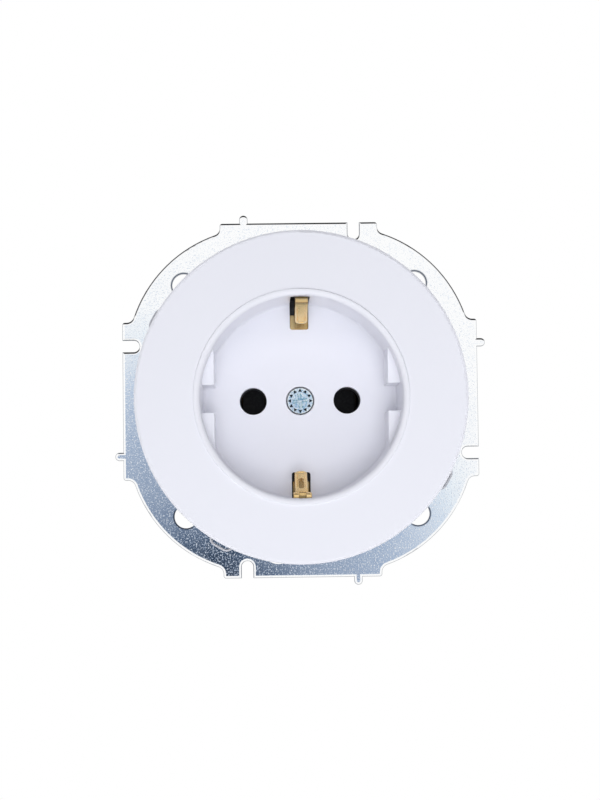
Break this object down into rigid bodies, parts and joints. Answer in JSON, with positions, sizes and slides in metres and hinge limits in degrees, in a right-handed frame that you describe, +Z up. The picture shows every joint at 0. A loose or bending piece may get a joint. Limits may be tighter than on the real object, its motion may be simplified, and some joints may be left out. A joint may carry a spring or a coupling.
{
  "type": "wall socket insert",
  "caption": "Flush earthed wall socket insert: round plastic cover with a plug bowl and side earth contacts, on a stamped metal support ring with a terminal base and spreader claws.",
  "frame": {"origin": "centre of the support ring on its back face, the plane of the wall", "axes": "+X to the right and +Z up as seen from the room, +Y into the wall"},
  "size_m": [0.074, 0.0401, 0.074],
  "materials": {
    "white_plastic": "glossy pure white moulding",
    "black_plastic": "matt black thermoset",
    "zinc_steel": "blue zinc-plated steel",
    "brass": "bare stamped brass"
  },
  "bodies": {
    "insert": {"central_cover": "white_plastic", "contact_cover": "black_plastic", "socket_base": "black_plastic", "mounting_ring": "zinc_steel", "cover_screw": "zinc_steel", "line_clamp": "zinc_steel", "line_clamp_screw": "zinc_steel", "neutral_clamp": "zinc_steel", "neutral_clamp_screw": "zinc_steel", "earth_clamp": "zinc_steel", "earth_clamp_screw": "zinc_steel", "upper_rivet": "zinc_steel", "lower_rivet": "zinc_steel", "earth_bracket": "brass", "earth_strip": "brass", "line_contact": "brass", "neutral_contact": "brass"},
    "left_claw": {"left_claw": "zinc_steel"},
    "left_claw_screw": {"left_claw_screw": "zinc_steel"},
    "right_claw": {"right_claw": "zinc_steel"},
    "right_claw_screw": {"right_claw_screw": "zinc_steel"}
  },
  "joints": [
    {"name": "left_claw_screw_turn", "type": "hinge", "parent": "insert", "child": "left_claw_screw", "pos_m": [-0.0246, 0, 0], "axis": [0, 1, 0], "range_deg": [0, 917]},
    {"name": "left_claw_swing", "type": "hinge", "parent": "insert", "child": "left_claw", "pos_m": [-0.0211, 0.013, 0], "axis": [0, 0, 1], "range_deg": [0, 20]},
    {"name": "right_claw_screw_turn", "type": "hinge", "parent": "insert", "child": "right_claw_screw", "pos_m": [0.0246, 0, 0], "axis": [0, 1, 0], "range_deg": [0, 917]},
    {"name": "right_claw_swing", "type": "hinge", "parent": "insert", "child": "right_claw", "pos_m": [0.0211, 0.013, 0], "axis": [0, 0, -1], "range_deg": [0, 20]}
  ],
  "couplings": [
    {"joint": "left_claw_swing", "follows": "left_claw_screw_turn", "ratio": 0.02181},
    {"joint": "right_claw_swing", "follows": "right_claw_screw_turn", "ratio": 0.02181}
  ]
}
